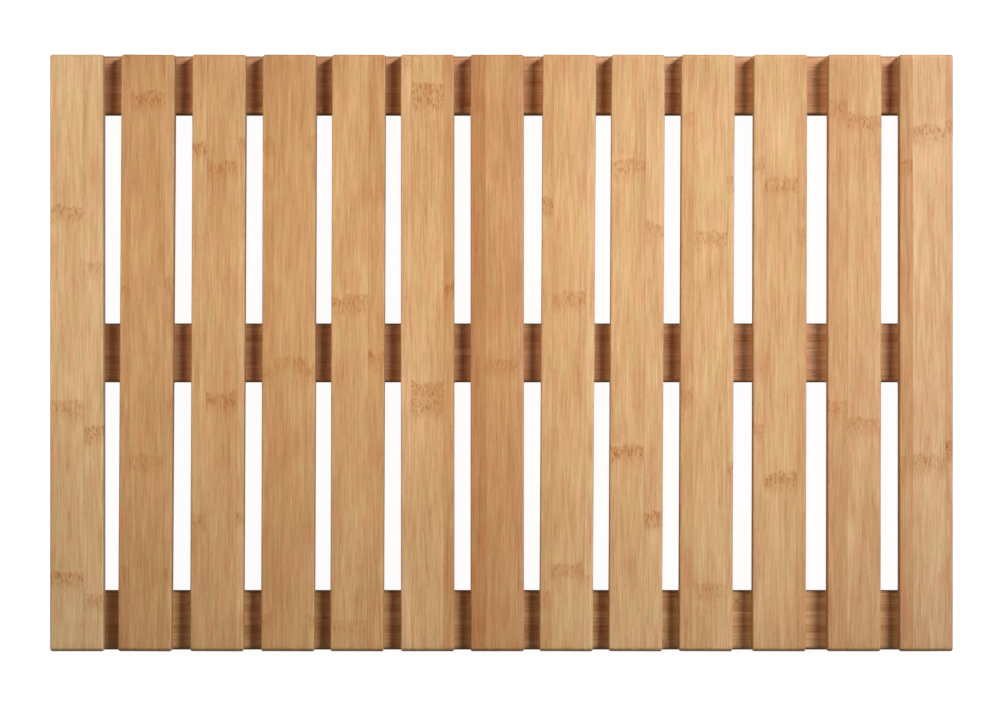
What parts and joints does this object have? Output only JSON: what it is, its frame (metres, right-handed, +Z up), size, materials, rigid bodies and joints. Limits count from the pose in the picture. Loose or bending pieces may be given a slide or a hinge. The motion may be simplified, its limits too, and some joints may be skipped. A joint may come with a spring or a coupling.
{
  "type": "slatted bath mat",
  "caption": "Rigid slatted bamboo bath mat: parallel slats screwed onto cross battens with rubber feet, so water drains between the slats and air passes below.",
  "frame": {"origin": "on the floor, under the middle of the mat", "axes": "+X along the battens, to the right; +Y along the slats, to the back; +Z up, out of the top of the slats"},
  "size_m": [0.6, 0.3972, 0.023],
  "materials": {
    "bamboo_slat": "sanded laminated bamboo, thin matt oil or lacquer, light honey brown",
    "bamboo_batten": "sanded side-pressed bamboo, thin matt oil, warmer and darker brown",
    "zinc_steel": "bright zinc plate, slightly dulled",
    "rubber": "moulded black rubber, matt"
  },
  "bodies": {
    "root": {"slat_01": "bamboo_slat", "slat_02": "bamboo_slat", "slat_03": "bamboo_slat", "slat_04": "bamboo_slat", "slat_05": "bamboo_slat", "slat_06": "bamboo_slat", "slat_07": "bamboo_slat", "slat_08": "bamboo_slat", "slat_09": "bamboo_slat", "slat_10": "bamboo_slat", "slat_11": "bamboo_slat", "slat_12": "bamboo_slat", "slat_13": "bamboo_slat", "batten_front": "bamboo_batten", "batten_middle": "bamboo_batten", "batten_back": "bamboo_batten", "slat_screws_front": "zinc_steel", "slat_screws_middle": "zinc_steel", "slat_screws_back": "zinc_steel", "foot_front_1": "rubber", "foot_front_2": "rubber", "foot_front_3": "rubber", "foot_front_4": "rubber", "foot_middle_1": "rubber", "foot_middle_2": "rubber", "foot_middle_3": "rubber", "foot_middle_4": "rubber", "foot_back_1": "rubber", "foot_back_2": "rubber", "foot_back_3": "rubber", "foot_back_4": "rubber", "foot_washers_front": "zinc_steel", "foot_washers_middle": "zinc_steel", "foot_washers_back": "zinc_steel", "foot_screws_front": "zinc_steel", "foot_screws_middle": "zinc_steel", "foot_screws_back": "zinc_steel"}
  },
  "joints": []
}
